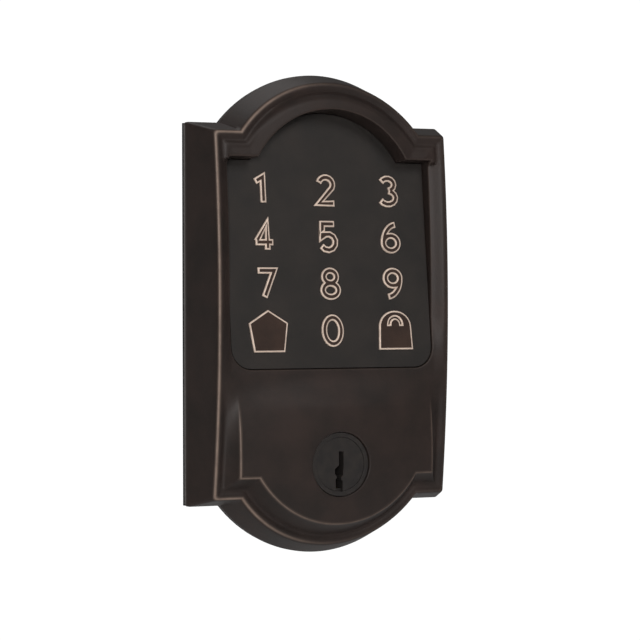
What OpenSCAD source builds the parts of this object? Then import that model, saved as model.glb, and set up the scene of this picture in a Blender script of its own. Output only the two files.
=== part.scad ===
// Keypad smart lock, the outside unit of a deadbolt: a cast case with arched ends, a sloping touch
// panel under a hood, a pin tumbler cylinder in the raised apron below it, and the back plate,
// posts and gasket that meet the door.
// The origin is the key plug's axis where it crosses the door's face. +Y goes into the door,
// +Z is up, and the keys look towards -Y.

/* [Case] */
// Width of the case at the door
case_w = 76.2; // [75:0.1:79]
// Height of the case from arch to arch
case_h = 127; // [126:0.1:129]
// Height of the key plug's axis above the lower arch
axis_h = 24; // [23.8:0.1:25]
// Radius of the two arches at the door
arch_r = 36.6; // [36:0.1:38]
// Height from the shoulders to the top of an arch
arch_rise = 13.3; // [13:0.1:14]
// How far the sides lean in from the door to the front ridge
side_lean = 3.6; // [3.2:0.1:4]
// How far the ends lean in from the door to the front ridge
end_lean = 2.5; // [2.2:0.1:2.8]
// Depth of the front ridge where it is fullest
ridge_d = 14.8; // [14.4:0.1:15.2]
// Radius of the ridge's bow from top to bottom
crown_r = 410; // [390:5:450]
// Radius of the case's corners
corner_r = 0.9; // [0.7:0.1:1]

/* [Apron] */
// Depth of the raised apron at the key plug
apron_d = 17.5; // [17.2:0.1:17.9]
// Distance from the ridge to the apron's edge
apron_in = 5.8; // [5.6:0.1:6]
// Radius of the apron's bow from side to side
apron_rx = 218; // [200:2:260]
// Radius of the apron's bow from top to bottom
apron_rz = 100; // [95:1:120]

/* [Panel] */
// Lean of the touch panel from upright
tilt = 5.64; // [5.5:0.01:5.8]
// Depth of the panel's face at the middle of the case
panel_d = 11.95; // [11.9:0.01:12]
// Width of the panel
panel_w = 60; // [59.6:0.1:60.4]
// Height of the panel's lower edge, from the middle of the case
panel_low = -14.3; // [-14.5:0.1:-14.1]
// Height of the panel's shoulders, from the middle of the case
panel_sh = 40.5; // [40.3:0.1:40.7]
// Height of the panel's arch, from the middle of the case
panel_top = 53.3; // [53:0.1:53.5]
// Thickness of the panel
panel_t = 1.8; // [1.6:0.1:1.8]
// Depth of the hood over the panel
hood_d = 13.2; // [12.8:0.1:13.6]
// Sideways distance between keys
key_dx = 19.05; // [18.5:0.05:19.4]
// Upright distance between rows of keys
key_dz = 12.42; // [12.2:0.01:12.5]
// Height of the top row of keys, from the middle of the case
key_top = 32.8; // [32.5:0.1:33]
// Height of a figure
figure_h = 8.6; // [8:0.1:8.8]
// Width of a figure's stroke
stroke_w = 1.65; // [1.4:0.05:1.7]
// How far the figures stand up from the panel
figure_t = 0.5; // [0.3:0.05:0.6]

/* [Cylinder] */
// Radius of the key plug
plug_r = 6.35; // [6.3:0.01:6.4]
// Radius of the plug's lip at its face
lip_r = 7.1; // [7:0.05:7.2]
// Radius of the cylinder body
body_r = 8.35; // [8.3:0.01:8.4]
// Radius of the pins
pin_r = 1.4; // [1.35:0.01:1.42]
// Number of pin stacks
pin_n = 5; // [4:1:5]
// Distance between pin stacks
pin_pitch = 3.97; // [3.9:0.01:4]
// Depth of the cylinder's face
face_d = 16.7; // [16.5:0.1:16.8]
// How far the cylinder body reaches into the door
body_back = 9; // [9:0.1:9.5]
// Height of the pin tower above the axis
tower_h = 18.3; // [18.3:0.1:18.5]
// How far the tailpiece reaches into the door
tail_back = 46; // [40:1:60]
// Width of the tailpiece
tail_w = 7; // [6.5:0.1:7.2]
// Thickness of the tailpiece
tail_t = 2; // [1.6:0.1:2.1]

/* [Fixing] */
// Thickness of the gasket
gasket_t = 1.2; // [1:0.1:1.2]
// Thickness of the back plate
plate_t = 1.2; // [1:0.1:1.2]
// Distance between the two mounting posts
post_dx = 38.1; // [37.5:0.1:38.5]
// Radius of a mounting post
post_r = 3.6; // [3.5:0.05:3.8]
// Radius of a post's threaded hole
thread_r = 1.75; // [1.6:0.05:1.8]
// How far the posts reach into the door
post_back = 18; // [15:0.5:20]
// Depth of a post's threaded hole
thread_l = 18.5; // [18.5:0.5:22]

/* [Hidden] */
$fn = 64;

bronze = "#2f2723";
worn = "#a08a72";
steel = "#8d9196";
brass = "#a98a4c";
black = "#1b1b1c";

// heights: the case's ends and shoulders, and the middle that the panel is set out from
top_z = case_h - axis_h;
low_z = -axis_h;
mid_z = top_z - case_h / 2;
// an outline is half width, top, top shoulder, bottom, bottom shoulder, arch radius
door_line = [case_w / 2, top_z, top_z - arch_rise, low_z, low_z + arch_rise, arch_r];
ridge_line = [
    case_w / 2 - side_lean, top_z - end_lean, top_z - arch_rise - end_lean,
    low_z + end_lean, low_z + arch_rise + end_lean - 0.5, arch_r - 3.1
];
crown_z = mid_z + 4;

// the fixed depths behind the case's face
plate_y = -gasket_t - plate_t;
cavity_y = -13.4;
ridge_round = 1;
cove_in = 3.4;
rail_drop = 2.3;
fade_z = 14.5;
fade_h = 9.5;
pad_z = mid_z + 40.3;
arc_n = 10;
corner_n = 3;
cap_n = 10;
slope = 0.08;

window_w = 50;
window_low = -9;
window_high = 38;
ledge_y = 2.3;
board_y = 3.8;
board_t = 1;
hole_r = body_r + 0.15;
flange_y = -7.4;
flange_t = 2.8;
ear_x = 11.8;
ear_z = 10.2;
corner_x = 31.2;
corner_top = 83.5;
corner_low = -5;
cable_at = [10.5, 20];
tower_w = 6.6;
tower_y = -12.9;
cover_z = 17.5;
shear = 0.05;
first_pin_y = -face_d + 5.9;
pin_lengths = [4.1, 5.2, 4.6, 5.8, 4.9];
driver_top = 10.2;
plug_back = 11;
cap_y = body_back + 0.3;
cap_t = 3.5;
cap_wall = 1.5;
cap_pin_at = [3.9, 3.9];
cap_pin_r = 0.6;
screw_r = 1.25;

function smooth(t) = let (u = max(0, min(1, t))) u * u * (3 - 2 * u);
function crown(z) = pow(z - crown_z, 2) / (2 * crown_r);
function ridge_y(z) = crown(z) - ridge_d;
function panel_y(z) = (z - mid_z) * tan(tilt) - panel_d;
function rail_y(z) = min(ridge_y(z) + rail_drop, panel_y(z) - 0.4);
function apron_y(x, z) = x * x / (2 * apron_rx) + pow(z - 2, 2) / (2 * apron_rz) - apron_d;

// three depths joined: the apron's below fade_z, the rails' beside the panel, the hood's on top
function low_part(z) = 1 - smooth((z - fade_z) / fade_h);
function top_part(z) = smooth((z - pad_z + 0.6) / 0.5);
function blend(z, low, mid, top) =
    low * low_part(z) + top * top_part(z) + mid * (1 - low_part(z) - top_part(z));

// the heights of the outline's points along its straight sides
side_rows = concat(
    [for (z = [2:3:fade_z + fade_h]) z],
    [for (z = [fade_z + fade_h + 6:8:pad_z - 4]) z],
    [pad_z - 0.6, pad_z - 0.1]
);

// the right half of an outline set in by d, as points [x, z] from bottom to top
function half_line(o, d) =
    let (
        w = o[0] - d, r = o[5] - d, top_c = o[1] - o[5], low_c = o[3] + o[5],
        top_s = o[2] - d, low_s = o[4] + d,
        top_a = acos((top_s - top_c) / r), low_a = acos((low_c - low_s) / r)
    )
    concat(
        [for (i = [0:arc_n]) let (a = low_a * (i + 0.5) / (arc_n + 0.5))
            [r * sin(a), low_c - r * cos(a)]],
        [for (j = [0:corner_n]) let (a = 90 * j / corner_n)
            [w - corner_r + corner_r * sin(a), low_s + slope + corner_r - corner_r * cos(a)]],
        [for (z = side_rows) [w, z]],
        [for (j = [0:corner_n]) let (a = 90 * j / corner_n)
            [w - corner_r + corner_r * cos(a), top_s - slope - corner_r + corner_r * sin(a)]],
        [for (i = [arc_n:-1:0]) let (a = top_a * (i + 0.5) / (arc_n + 0.5))
            [r * sin(a), top_c + r * cos(a)]]
    );

// a closed ring of points: the right half up, then the left half down
function ring(half, depth) = concat(
    [for (p = half) [p[0], depth(p[0], p[1]), p[1]]],
    [for (i = [len(half) - 1:-1:0]) [-half[i][0], depth(half[i][0], half[i][1]), half[i][1]]]
);

function cap_depth(x, z) = blend(z, apron_y(x, z), rail_y(z), -hood_d);
case_rings = [
    ring(half_line(door_line, 0), function (x, z) 1),
    ring(half_line(door_line, 0), function (x, z) -gasket_t - 1.2),
    ring(half_line(ridge_line, -0.5), function (x, z) ridge_y(z) + ridge_round),
    ring(half_line(ridge_line, 0.2), function (x, z) ridge_y(z)),
    ring(half_line(ridge_line, 1), function (x, z) ridge_y(z) + 0.15),
    ring(half_line(ridge_line, cove_in), function (x, z)
        blend(z, ridge_y(z) + 0.6, (ridge_y(z) + 2 * rail_y(z)) / 3, ridge_y(z) - 0.7)),
    ring(half_line(ridge_line, apron_in - 0.8), function (x, z)
        blend(z, (ridge_y(z) + 3 * apron_y(x, z)) / 4, rail_y(z), -hood_d + 0.2)),
    ring(half_line(ridge_line, apron_in), function (x, z) cap_depth(x, z))
];
half_n = len(case_rings[0]) / 2;
ring_n = 2 * half_n;
last_half = half_line(ridge_line, apron_in);

// the case's outer form: rings from just behind its rim to the apron's edge, closed by a bowed grid
function grid_at(i, j) =
    j == 0 ? (len(case_rings) - 1) * ring_n + ring_n - 1 - i
    : j == cap_n ? (len(case_rings) - 1) * ring_n + i
    : len(case_rings) * ring_n + (i - 1) * (cap_n - 1) + j - 1;
case_points = concat(
    [for (r = case_rings) each r],
    [for (i = [1:half_n - 2]) for (j = [1:cap_n - 1])
        let (x = last_half[i][0] * (2 * j / cap_n - 1), z = last_half[i][1])
        [x, cap_depth(x, z), z]]
);
case_faces = concat(
    [[for (p = [0:ring_n - 1]) p]],
    [for (k = [0:len(case_rings) - 2]) for (p = [0:ring_n - 1])
        let (a = k * ring_n + p, b = k * ring_n + (p + 1) % ring_n)
        each [[a, a + ring_n, b], [b, a + ring_n, b + ring_n]]],
    [for (i = [1:half_n - 3]) for (j = [0:cap_n - 1])
        each [
            [grid_at(i, j), grid_at(i + 1, j), grid_at(i, j + 1)],
            [grid_at(i, j + 1), grid_at(i + 1, j), grid_at(i + 1, j + 1)]
        ]],
    [for (j = [0:cap_n - 1]) [grid_at(0, cap_n), grid_at(1, j), grid_at(1, j + 1)]],
    [[grid_at(0, 0), grid_at(1, 0), grid_at(0, cap_n)]],
    [for (j = [0:cap_n - 1])
        [grid_at(half_n - 1, cap_n), grid_at(half_n - 2, j + 1), grid_at(half_n - 2, j)]],
    [[grid_at(half_n - 1, cap_n), grid_at(half_n - 2, 0), grid_at(half_n - 1, 0)]]
);

// a round bar along Y from y0 to y1
module rod(r, y0, y1, x = 0, z = 0) {
    translate([x, y0, z]) rotate([-90, 0, 0]) cylinder(r = r, h = y1 - y0);
}

// a flat shape, drawn in X and Z, made solid from y0 to y1
module slab(y0, y1) {
    translate([0, y1, 0]) rotate([90, 0, 0]) linear_extrude(y1 - y0) children();
}

// puts a child on the sloping panel: its face is y = 0 and the middle of the case is z = 0
module on_panel() {
    translate([0, -panel_d, mid_z]) rotate([-tilt, 0, 0]) children();
}

// an arched outline set in by d, with true arcs
module arched(o, d) {
    r = o[5] - d;
    translate([d - o[0], o[4] + d]) square([2 * (o[0] - d), o[2] - o[4] - 2 * d]);
    intersection() {
        translate([0, o[1] - o[5]]) circle(r, $fn = 96);
        translate([-o[0], o[2] - d - 1]) square([2 * o[0], o[1] - o[2] + 2]);
    }
    intersection() {
        translate([0, o[3] + o[5]]) circle(r, $fn = 96);
        translate([-o[0], o[3] - 1]) square([2 * o[0], o[4] - o[3] + d + 2]);
    }
}

// the touch panel's outline, set in by d
module panel_shape(d) {
    foot_r = 5.5;
    rise = panel_top - panel_sh;
    junction = 22;
    r = (junction * junction + rise * rise) / (2 * rise);
    difference() {
        translate([d - panel_w / 2, panel_low + d])
            square([panel_w - 2 * d, panel_sh - panel_low - 2 * d]);
        for (s = [-1, 1])
            translate([s * (panel_w / 2 - foot_r), panel_low + foot_r])
                difference() {
                    translate([s > 0 ? 0 : -foot_r, -foot_r]) square(foot_r);
                    circle(foot_r - d);
                }
    }
    intersection() {
        translate([0, panel_top - r]) circle(r - d, $fn = 96);
        translate([-junction, panel_sh - d - 1]) square([2 * junction, rise + 2]);
    }
}

// the four corners where the back plate is screwed to the case
module plate_corners() {
    for (x = [-corner_x, corner_x])
        for (z = [corner_low, corner_top]) translate([x, 0, z]) children();
}

// the hollow behind the case's face, less the bosses that stand in it
module case_hollow() {
    difference() {
        union() {
            slab(-10, 1) {
                translate([-31, 1]) square([62, 80]);
                translate([0, low_z + arch_r]) circle(28);
            }
            slab(cavity_y, -9) {
                translate([-25.5, -1]) square([51, 25]);
                translate([0, low_z + arch_r - 1]) circle(26);
            }
        }
        on_panel() translate([-40, -20, panel_low - 3]) cube([80, 20 + board_y, 80]);
        for (s = [-1, 1]) {
            rod(5.2, cavity_y - 1, -8, s * post_dx / 2);
            rod(3, cavity_y - 1, flange_y, s * ear_x, ear_z);
        }
    }
}

module front_case() {
    color(bronze) difference() {
        polyhedron(case_points, case_faces);
        translate([-case_w, -gasket_t, low_z - 1]) cube([2 * case_w, 3, case_h + 2]);
        slab(plate_y, 1) arched(door_line, 3.2);
        case_hollow();
        on_panel() slab(-30, ledge_y) panel_shape(-0.2);
        on_panel() slab(0, board_y + 1)
            translate([-window_w / 2, window_low]) square([window_w, window_high - window_low]);
        rod(hole_r, -30, 0);
        for (s = [-1, 1]) {
            rod(2, cavity_y, -7, s * post_dx / 2);
            rod(screw_r, cavity_y, -7, s * ear_x, ear_z);
        }
        plate_corners() rod(screw_r, -9, 0);
        on_panel() board_corners() rod(0.7, ledge_y + 0.3, board_y + 1);
    }
}

module touch_panel() {
    color(bronze) on_panel() slab(0, panel_t) panel_shape(0);
}

// the figures on the keys: centre lines in a box of figure_h high, drawn with a stroke
function arc(cx, cz, rx, rz, a0, a1, n = 9) =
    [for (i = [0:n]) let (a = a0 + (a1 - a0) * i / n) [cx + rx * cos(a), cz + rz * sin(a)]];
function direction(p, q) = (q - p) / norm(q - p);
function across(path, i) =
    let (
        n = len(path),
        before = direction(path[max(i - 1, 0)], path[max(i, 1)]),
        after = direction(path[min(i, n - 2)], path[min(i + 1, n - 1)]),
        m = (before + after) / norm(before + after)
    )
    [-m[1], m[0]] / max(0.45, m * before);
up = (figure_h - stroke_w) / 2;
hook = arc(1.9, -1.5, 4.1, up + 1.5, 95, 180);
strokes = [
    [],
    [[[-1.9, 2.1], [0.3, up - 0.2], [0.3, -up]]],
    [concat(arc(0, 1.55, 2.1, up - 1.55, 165, -28), [[-2.2, -up], [2.4, -up]])],
    [arc(-0.2, 1.85, 2, up - 1.85, 155, -82), arc(-0.2, -1.7, 2.35, up - 1.7, 82, -155)],
    [[[0.9, -up], [0.9, up], [-2.3, -1.3]], [[-2.6, -1.5], [2.6, -1.5]]],
    [concat([[2, up], [-1.6, up]], arc(-0.1, -1.35, 2.25, up - 1.35, 140, -150))],
    [hook],
    [[[-2.4, up], [2.4, up], [-0.7, -up]]],
    [],
    [[for (p = hook) -p]]
];
loops = [
    [[0, 2.5, up]], [], [], [], [], [],
    [[-1.5, 2.2, up - 1.5]], [],
    [[1.85, 1.85, up - 1.85], [-1.7, 2.25, up - 1.7]],
    [[1.5, 2.2, up - 1.5]]
];

// one figure, as flat shapes
module figure(n) {
    h = stroke_w / 2;
    for (path = strokes[n])
        polygon(concat(
            [for (i = [0:len(path) - 1]) path[i] + h * across(path, i)],
            [for (i = [len(path) - 1:-1:0]) path[i] - h * across(path, i)]
        ));
    for (l = loops[n])
        difference() {
            polygon(arc(0, l[0], l[1] + h, l[2] + h, 0, 350, 35));
            polygon(arc(0, l[0], l[1] - h, l[2] - h, 0, 350, 35));
        }
}

// a plain house: the key that leaves the lock on
module house() {
    polygon([[-4.55, -5.55], [4.55, -5.55], [5.75, 2.1], [0, 5.55], [-5.75, 2.1]]);
}

// a plain padlock: an arched body with the shackle's arc cut in it
module padlock() {
    difference() {
        polygon(concat([[-5.2, -5.2], [5.2, -5.2]], arc(0, 0.9, 4.9, 4.3, 0, 180, 16)));
        difference() {
            polygon(arc(0, 1.5, 2.05, 2.1, 0, 180, 12));
            polygon(arc(0, 1.5, 1.6, 1.65, 0, 180, 12));
        }
    }
}

// puts a child on each key, row by row from the top
module key_place(n) {
    row = floor(n / 3);
    translate([(n % 3 - 1) * key_dx, 0, key_top - row * key_dz]) children();
}

module key_figures() {
    color(worn) on_panel() {
        for (n = [0:8]) key_place(n) slab(-figure_t, 0) figure(n + 1);
        key_place(9) slab(-figure_t, 0) house();
        key_place(10) slab(-figure_t, 0) figure(0);
        key_place(11) slab(-figure_t, 0) padlock();
    }
}

module panel_seal() {
    color(black) on_panel() slab(panel_t, ledge_y) difference() {
        panel_shape(0.5);
        panel_shape(2.2);
    }
}

module light_guide() {
    color("#e9eef0") on_panel() difference() {
        slab(panel_t, board_y - 0.2)
            translate([0.2 - window_w / 2, window_low + 0.2])
                square([window_w - 0.4, window_high - window_low - 0.4]);
        for (n = [0:11]) key_place(n) translate([-1.4, board_y - 1.3, -1]) cube([2.8, 2, 2]);
    }
}

// the four corners where the touch board is screwed to the case
module board_corners() {
    for (x = [-27, 27])
        for (z = [-11.5, 38.5]) translate([x, 0, z]) children();
}

module touch_board() {
    color("#1f5a3a") on_panel() difference() {
        slab(board_y, board_y + board_t)
            translate([-28.8, -13.4]) square([57.6, 54]);
        board_corners() rod(0.95, board_y - 1, board_y + board_t + 1);
    }
}

module key_lights() {
    color("#f4f1d8") on_panel()
        for (n = [0:11]) key_place(n) translate([-0.8, board_y - 0.8, -0.4]) cube([1.6, 0.8, 0.8]);
}

module touch_chip() {
    color(black) on_panel() translate([-3, board_y + board_t, 8]) cube([6, 0.9, 6]);
}

module radio_module() {
    color(steel) on_panel() {
        translate([-20, board_y + board_t, -8]) cube([13, 0.8, 18]);
        translate([-19.2, board_y + board_t + 0.8, -7.2]) cube([11.4, 1.6, 12.5]);
    }
}

module buzzer() {
    color(black) on_panel() difference() {
        rod(4.8, board_y + board_t, board_y + board_t + 2.6, 18, 2);
        rod(0.8, board_y + board_t + 1.2, board_y + board_t + 3, 18, 2);
    }
}

module board_connector() {
    color("#e8e4d6") on_panel() translate([4, board_y + board_t, -11]) difference() {
        cube([12, 3.4, 5]);
        translate([1, 0.8, 1]) cube([10, 3, 3]);
    }
}

// a pan head screw along Y, its head's underside at y
module screw(y, length, shank_r, head_r, head_h) {
    rod(shank_r, y - length, y);
    difference() {
        rod(head_r, y, y + head_h);
        for (a = [0, 90]) translate([0, y + head_h, 0]) rotate([0, a, 0])
            cube([head_r * 1.1, head_h, head_r * 0.24], center = true);
    }
}

module board_screws() {
    color(steel) on_panel() board_corners() screw(board_y + board_t, 2.1, 0.65, 1.5, 0.7);
}

// puts a child on each pin stack, with its length's number
module pin_places() {
    for (i = [0:pin_n - 1]) translate([0, first_pin_y + i * pin_pitch, 0]) {
        $stack = i;
        children();
    }
}

module cylinder_body() {
    color(brass) difference() {
        union() {
            rod(body_r, -face_d, body_back);
            translate([-tower_w / 2, tower_y, 0]) cube([tower_w, body_back - tower_y, tower_h]);
            slab(flange_y, flange_y + flange_t) {
                circle(10.8);
                translate([-15, 6]) square([30, 8.6]);
            }
        }
        rod(plug_r + shear, -face_d - 1, body_back + 1);
        rod(lip_r + 0.1, -face_d - 1, -face_d + 1.3);
        pin_places() cylinder(r = pin_r + shear, h = tower_h + 1);
        translate([-2.4, tower_y + 0.6, cover_z]) cube([4.8, body_back - tower_y - 1.2, 5]);
        for (s = [-1, 1]) rod(1.6, flange_y - 1, 0, s * ear_x, ear_z);
        translate([0, -14.9, 0]) rotate([90, 0, 0])
            rotate_extrude() translate([body_r, 0]) circle(0.62, $fn = 32);
    }
}

module cylinder_seal() {
    color(black) translate([0, -14.9, 0]) rotate([90, 0, 0])
        rotate_extrude() translate([body_r - 0.05, 0]) intersection() {
            circle(0.55, $fn = 32);
            translate([-1, -1]) square([1 + hole_r - body_r, 2]);
        }
}

module driver_pins() {
    color(steel) pin_places()
        translate([0, 0, plug_r + 0.15]) cylinder(r = pin_r, h = driver_top - plug_r - 0.15);
}

// a coil spring along Z from z0 to z1: a wire of radius wire swept round a helix
module coil(z0, z1, r, wire, turns, steps, sides) {
    n = turns * steps;
    points = [for (i = [0:n]) for (j = [0:sides - 1])
        let (a = 360 * i / steps, b = 360 * j / sides, q = r + wire * cos(b))
        [q * cos(a), q * sin(a), z0 + wire + (z1 - z0 - 2 * wire) * i / n + wire * sin(b)]];
    faces = concat(
        [[for (j = [sides - 1:-1:0]) j]],
        [for (i = [0:n - 1]) for (j = [0:sides - 1])
            let (a = i * sides + j, b = i * sides + (j + 1) % sides)
            each [[a, b, a + sides], [b, b + sides, a + sides]]],
        [[for (j = [0:sides - 1]) n * sides + j]]
    );
    polyhedron(points, faces);
}

module pin_springs() {
    color(steel) pin_places() coil(driver_top, cover_z, 1.12, 0.16, 6, 9, 5);
}

module spring_cover() {
    color(brass) translate([-2.3, tower_y + 0.7, cover_z])
        cube([4.6, body_back - tower_y - 1.4, 0.5]);
}

module cylinder_screws() {
    color(steel) for (s = [-1, 1])
        translate([s * ear_x, 0, ear_z]) screw(flange_y + flange_t, 7.5, 1.2, 2.4, 1.4);
}

module cylinder_plug() {
    color(brass) difference() {
        union() {
            rod(plug_r, -face_d + 0.2, plug_back);
            rod(lip_r, -face_d + 0.2, -face_d + 1.1);
        }
        slab(-face_d - 1, plug_back + 1) polygon([
            [-0.35, 3.4], [1.05, 3.4], [1.05, -0.6], [0.85, -2.9], [0.35, -3.3], [0.35, -4],
            [0.75, -4.4], [0.75, -9], [-1.35, -9], [-1.35, -3.9], [-1, -3.5], [-1, -3.1],
            [-1.55, -2.6], [-1.55, -1.2], [-0.35, -0.2]
        ]);
        pin_places() cylinder(r = pin_r + shear, h = plug_r + 1);
        rod(cap_pin_r + 0.05, 5, plug_back + 1, cap_pin_at[0], cap_pin_at[1]);
        for (s = [-1, 1]) translate([s * 3.6, -face_d + 2.4, -3]) cylinder(r = 0.75, h = 6);
    }
}

module key_pins() {
    color(brass) pin_places() {
        top = sqrt(pow(plug_r, 2) - pow(pin_r + shear, 2)) - 0.05;
        translate([0, 0, top - pin_lengths[$stack]]) {
            translate([0, 0, 1]) cylinder(r = pin_r, h = pin_lengths[$stack] - 1);
            cylinder(r1 = 0.5, r2 = pin_r, h = 1);
        }
    }
}

module drill_pins() {
    color(steel) for (s = [-1, 1])
        translate([s * 3.6, -face_d + 2.4, -3]) cylinder(r = 0.73, h = 6);
}

module plug_cap() {
    // the tailpiece's blade sweeps a quarter turn between the two lugs
    color(brass) difference() {
        rod(7.8, cap_y, cap_y + cap_t + cap_wall);
        rod(plug_r + 0.03, cap_y - 1, cap_y + cap_t);
        difference() {
            rod(4.2, cap_y, cap_y + cap_t + cap_wall + 1);
            for (s = [-1, 1])
                translate([s > 0 ? -6.3 : 1.3, cap_y, s > 0 ? 1.3 : -6.3]) cube([5, 10, 5]);
        }
        rod(cap_pin_r + 0.05, cap_y, cap_y + cap_t + 0.9, cap_pin_at[0], cap_pin_at[1]);
    }
}

module cap_pin() {
    color(steel) rod(cap_pin_r, 7.4, cap_y + cap_t + 0.8, cap_pin_at[0], cap_pin_at[1]);
}

module cap_spring() {
    color(steel) translate([cap_pin_at[0], 5, cap_pin_at[1]]) rotate([-90, 0, 0])
        coil(0, 2.4, 0.4, 0.1, 5, 8, 5);
}

module tailpiece() {
    color(steel) {
        rod(4.7, plug_back + 0.3, cap_y + cap_t - 0.3);
        translate([-tail_t / 2, plug_back + 0.3, -tail_w / 2])
            cube([tail_t, tail_back - plug_back - 0.3, tail_w]);
    }
}

module mounting_posts() {
    color(steel) for (s = [-1, 1]) difference() {
        union() {
            rod(post_r, -8, post_back, s * post_dx / 2);
            rod(1.95, cavity_y + 0.2, -8, s * post_dx / 2);
        }
        rod(thread_r, post_back - thread_l, post_back + 1, s * post_dx / 2);
    }
}

module back_plate() {
    color(steel) slab(plate_y, -gasket_t) difference() {
        arched(door_line, 3.5);
        circle(9.4);
        translate([-4.2, 0]) square([8.4, 20.5]);
        for (s = [-1, 1]) translate([s * post_dx / 2, 0]) circle(post_r + 0.3);
        translate(cable_at) circle(4.05);
        for (x = [-corner_x, corner_x])
            for (z = [corner_low, corner_top]) translate([x, z]) circle(1.5);
    }
}

module back_plate_screws() {
    color(steel) plate_corners() screw(-gasket_t, 7, 1.2, 2.4, 1);
}

module cable_grommet() {
    color(black) difference() {
        union() {
            rod(4, plate_y - 0.8, -0.2, cable_at[0], cable_at[1]);
            rod(5.1, plate_y - 0.8, plate_y, cable_at[0], cable_at[1]);
            rod(5.1, -gasket_t, -0.2, cable_at[0], cable_at[1]);
        }
        rod(3.1, -10, 10, cable_at[0], cable_at[1]);
    }
}

module door_gasket() {
    color(black) slab(-gasket_t, 0) difference() {
        arched(door_line, 0.25);
        translate([0, 2]) circle(19.5);
        translate([-24, -5]) square([48, 10]);
        translate(cable_at) circle(6);
        for (x = [-corner_x, corner_x])
            for (z = [corner_low, corner_top]) translate([x, z]) circle(3);
    }
}

front_case();
touch_panel();
key_figures();
panel_seal();
light_guide();
touch_board();
key_lights();
touch_chip();
radio_module();
buzzer();
board_connector();
board_screws();
cylinder_body();
cylinder_seal();
driver_pins();
pin_springs();
spring_cover();
cylinder_screws();
cylinder_plug();
key_pins();
drill_pins();
plug_cap();
cap_pin();
cap_spring();
tailpiece();
mounting_posts();
back_plate();
back_plate_screws();
cable_grommet();
door_gasket();
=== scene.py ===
import math

import bmesh
import bpy
import numpy as np
from mathutils import Matrix, Vector
from mathutils.geometry import delaunay_2d_cdt


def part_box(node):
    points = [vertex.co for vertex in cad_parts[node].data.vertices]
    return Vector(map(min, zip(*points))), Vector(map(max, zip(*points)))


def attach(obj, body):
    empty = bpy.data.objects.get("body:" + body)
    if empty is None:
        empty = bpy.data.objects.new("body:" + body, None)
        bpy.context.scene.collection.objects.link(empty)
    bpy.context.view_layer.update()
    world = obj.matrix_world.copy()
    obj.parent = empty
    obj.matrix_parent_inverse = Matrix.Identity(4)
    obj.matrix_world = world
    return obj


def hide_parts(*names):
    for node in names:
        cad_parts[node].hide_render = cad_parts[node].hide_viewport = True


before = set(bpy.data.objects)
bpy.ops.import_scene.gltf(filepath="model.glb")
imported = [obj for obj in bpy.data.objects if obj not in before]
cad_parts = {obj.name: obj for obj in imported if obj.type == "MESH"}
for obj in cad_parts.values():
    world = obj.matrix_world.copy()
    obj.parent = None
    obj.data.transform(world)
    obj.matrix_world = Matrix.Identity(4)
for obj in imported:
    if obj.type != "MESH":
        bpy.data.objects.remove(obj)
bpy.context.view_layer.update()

MM = 0.001


# ---------------------------------------------------------------- the case
# The case is one zinc die casting with a dark bronze coat, rubbed through to warm metal on its edges; that
# pale edge colour is heavier on the left, where it is a painted highlight laid over the wear.
# Its walls lean in from the door to a ridge; inside the ridge are a hood, two rails and an apron.
DOOR_LINE = {"w": 38.1, "top": 102.965, "top_sh": 89.7, "low_sh": -10.7, "low": -23.965, "r": 36.6}
RIDGE_LINE = {"w": 34.5, "top": 100.5, "top_sh": 87.2, "low_sh": -8.7, "low": -21.5, "r": 33.5}
RIM_Y = -1.2
ROUND_D = 1.25
COVE_D = 2.5
APRON_D = 5.8
LAND_D = 4.7
FADE_Z = 14.5
FADE_H = 9.5
POST_X = 19.05
EAR_X = 11.8
EAR_Z = 10.2
OPENING_D = 4.3
HOOD_Y = -13.2
PAD_Z = 79.6
PANEL_Y = -11.95
PANEL_MID_Z = 39.5
PANEL_TILT = math.radians(5.64)
PLUG_HOLE_R = 8.5
MOUTH_R = PLUG_HOLE_R + 0.4
PLATE_Y = -2.4
CAVITY_Y = -13.4


def soft_step(t):
    t = np.clip(t, 0.0, 1.0)
    return t * t * (3 - 2 * t)


def ridge_depth(z):
    return (z - 43.5) ** 2 / 820.0 - 14.8


def panel_depth(z):
    return (z - PANEL_MID_Z) * math.tan(PANEL_TILT) + PANEL_Y


def rail_depth(z):
    return np.minimum(ridge_depth(z) + 2.3, panel_depth(z) - 0.4)


def apron_depth(x, z):
    return x ** 2 / 436.0 + (z - 2.0) ** 2 / 200.0 - 17.495


def apron_share(z):
    return 1 - soft_step((z - FADE_Z) / FADE_H)


def hood_share(z):
    return soft_step((z - PAD_Z + 0.25) / 0.5)


def inset_of(x, z, line):
    """How far a point lies inside an arched outline, measured square to its nearest edge."""
    sides = np.minimum(line["w"] - np.abs(x), np.minimum(line["top_sh"] - z, z - line["low_sh"]))
    top = line["r"] - np.hypot(x, z - line["top"] + line["r"])
    low = line["r"] - np.hypot(x, z - line["low"] - line["r"])
    return np.maximum(sides, np.maximum(top, low))


def face_depth(x, z):
    """The depth of the case's front at a point inside its ridge."""
    d = inset_of(x, z, RIDGE_LINE)
    ridge = ridge_depth(z) + 0.15 * soft_step(d / ROUND_D)
    cove = ridge + 0.5 * soft_step((d - 0.8) / (COVE_D - 0.8))
    apron = apron_depth(x, z)
    climb = np.clip((d - COVE_D) / (APRON_D - COVE_D), 0, 1)
    low = cove + (apron - cove) * np.minimum(1.04 * climb ** 1.08, 1 - 0.5 * (1 - climb) ** 2)
    slope = np.clip((d - 1.0) / (OPENING_D - 1.2), 0, 1)
    mid = ridge + (rail_depth(z) - ridge) * (0.75 * slope + 0.25 * soft_step(slope))
    land = HOOD_Y - 0.25 + 0.2 * np.clip(8.0 - d, 0, 3.6)
    dip = 0.6 * np.exp(-((d - 2.3) / 0.8) ** 2)
    hood = ridge + dip + (land - ridge) * soft_step((d - 2.0) / (LAND_D - 1.9))
    a = apron_share(z)
    h = hood_share(z)
    return a * low + h * hood + (1 - a - h) * mid


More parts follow.
